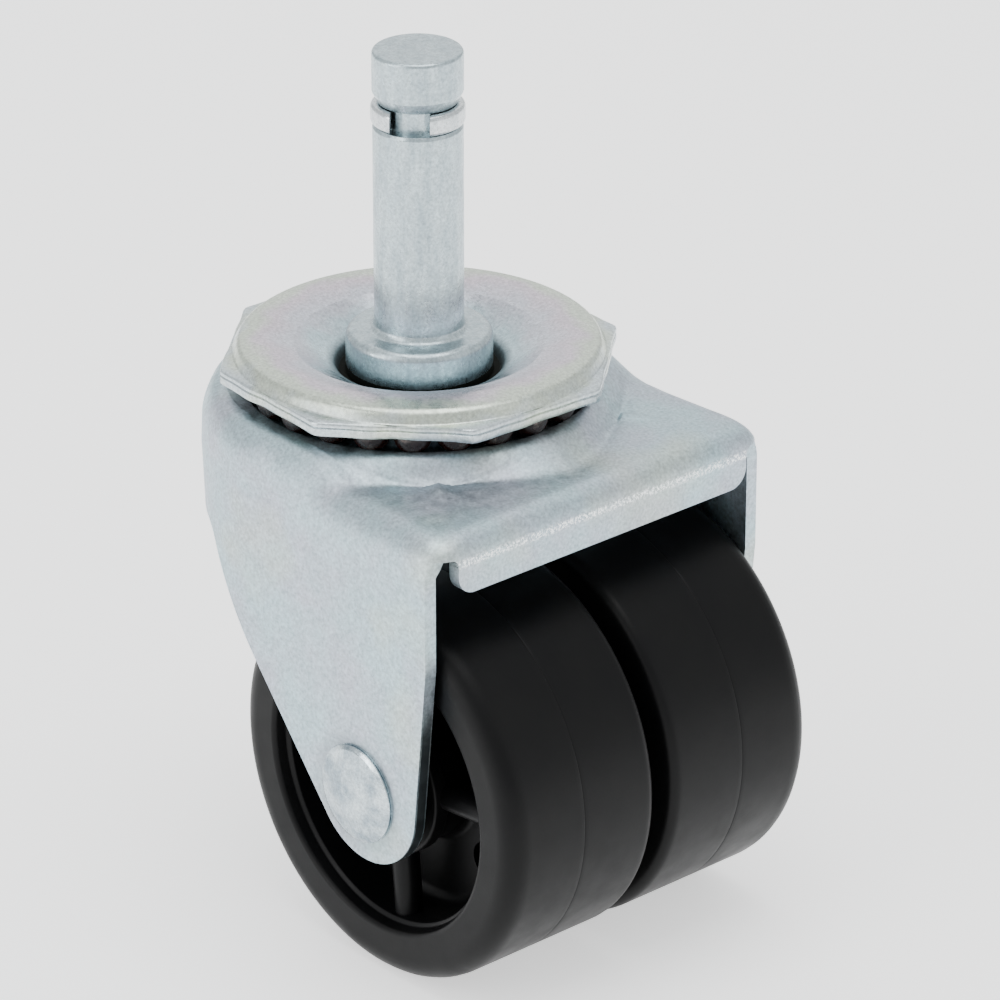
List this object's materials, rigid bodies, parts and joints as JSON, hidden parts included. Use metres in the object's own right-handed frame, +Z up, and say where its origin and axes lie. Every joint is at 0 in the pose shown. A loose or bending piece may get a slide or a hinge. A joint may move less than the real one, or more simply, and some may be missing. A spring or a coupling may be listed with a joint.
{
  "type": "twin wheel chair caster",
  "caption": "Twin-wheel swivel caster with a plain grip-ring stem, an octagonal ball race and a pressed steel fork carrying two black moulded wheels.",
  "frame": {"origin": "on the swivel axis at the stem seat, the top face of the stem's collar", "axes": "+Z up the stem, +X from the swivel axis towards the axle, +Y to the left when looking along +X"},
  "size_m": [0.0722, 0.0575, 0.1093],
  "materials": {
    "bright_steel": "turned, bright zinc plated",
    "spring_steel": "bright spring steel",
    "passivated_zinc": "stamped steel, zinc plated, faint iridescent passivation",
    "blue_zinc": "pressed sheet steel, satin blue-white zinc plate",
    "bearing_steel": "polished balls with a film of grease",
    "black_nylon": "satin black moulding"
  },
  "bodies": {
    "stem_assembly": {"stem": "bright_steel", "upper_race": "passivated_zinc", "lower_race": "passivated_zinc"},
    "ring": {"grip_ring": "spring_steel"},
    "upper_ball_set": {"upper_balls": "bearing_steel"},
    "lower_ball_set": {"lower_balls": "bearing_steel"},
    "swivel_fork": {"fork": "blue_zinc", "axle_rivet": "bright_steel", "axle_sleeve": "bright_steel", "right_washer": "blue_zinc", "left_washer": "blue_zinc", "centre_washer": "blue_zinc"},
    "right_wheel_body": {"right_wheel": "black_nylon"},
    "left_wheel_body": {"left_wheel": "black_nylon"}
  },
  "joints": [
    {"name": "swivel", "type": "hinge", "parent": "stem_assembly", "child": "swivel_fork", "pos_m": [0, 0, 0], "axis": [0, 0, 1], "continuous": true},
    {"name": "ring_turn", "type": "hinge", "parent": "stem_assembly", "child": "ring", "pos_m": [0, 0, 0.02845], "axis": [0, 0, 1], "continuous": true},
    {"name": "upper_balls_roll", "type": "hinge", "parent": "stem_assembly", "child": "upper_ball_set", "pos_m": [0, 0, -0.0053], "axis": [0, 0, 1], "continuous": true},
    {"name": "lower_balls_roll", "type": "hinge", "parent": "stem_assembly", "child": "lower_ball_set", "pos_m": [0, 0, -0.01162], "axis": [0, 0, 1], "continuous": true},
    {"name": "right_wheel_spin", "type": "hinge", "parent": "swivel_fork", "child": "right_wheel_body", "pos_m": [0.01966, 0, -0.04742], "axis": [0, 1, 0], "continuous": true},
    {"name": "left_wheel_spin", "type": "hinge", "parent": "swivel_fork", "child": "left_wheel_body", "pos_m": [0.01966, 0, -0.04742], "axis": [0, 1, 0], "continuous": true}
  ],
  "couplings": [
    {"joint": "upper_balls_roll", "follows": "swivel", "ratio": 0.5},
    {"joint": "lower_balls_roll", "follows": "swivel", "ratio": 0.5}
  ]
}
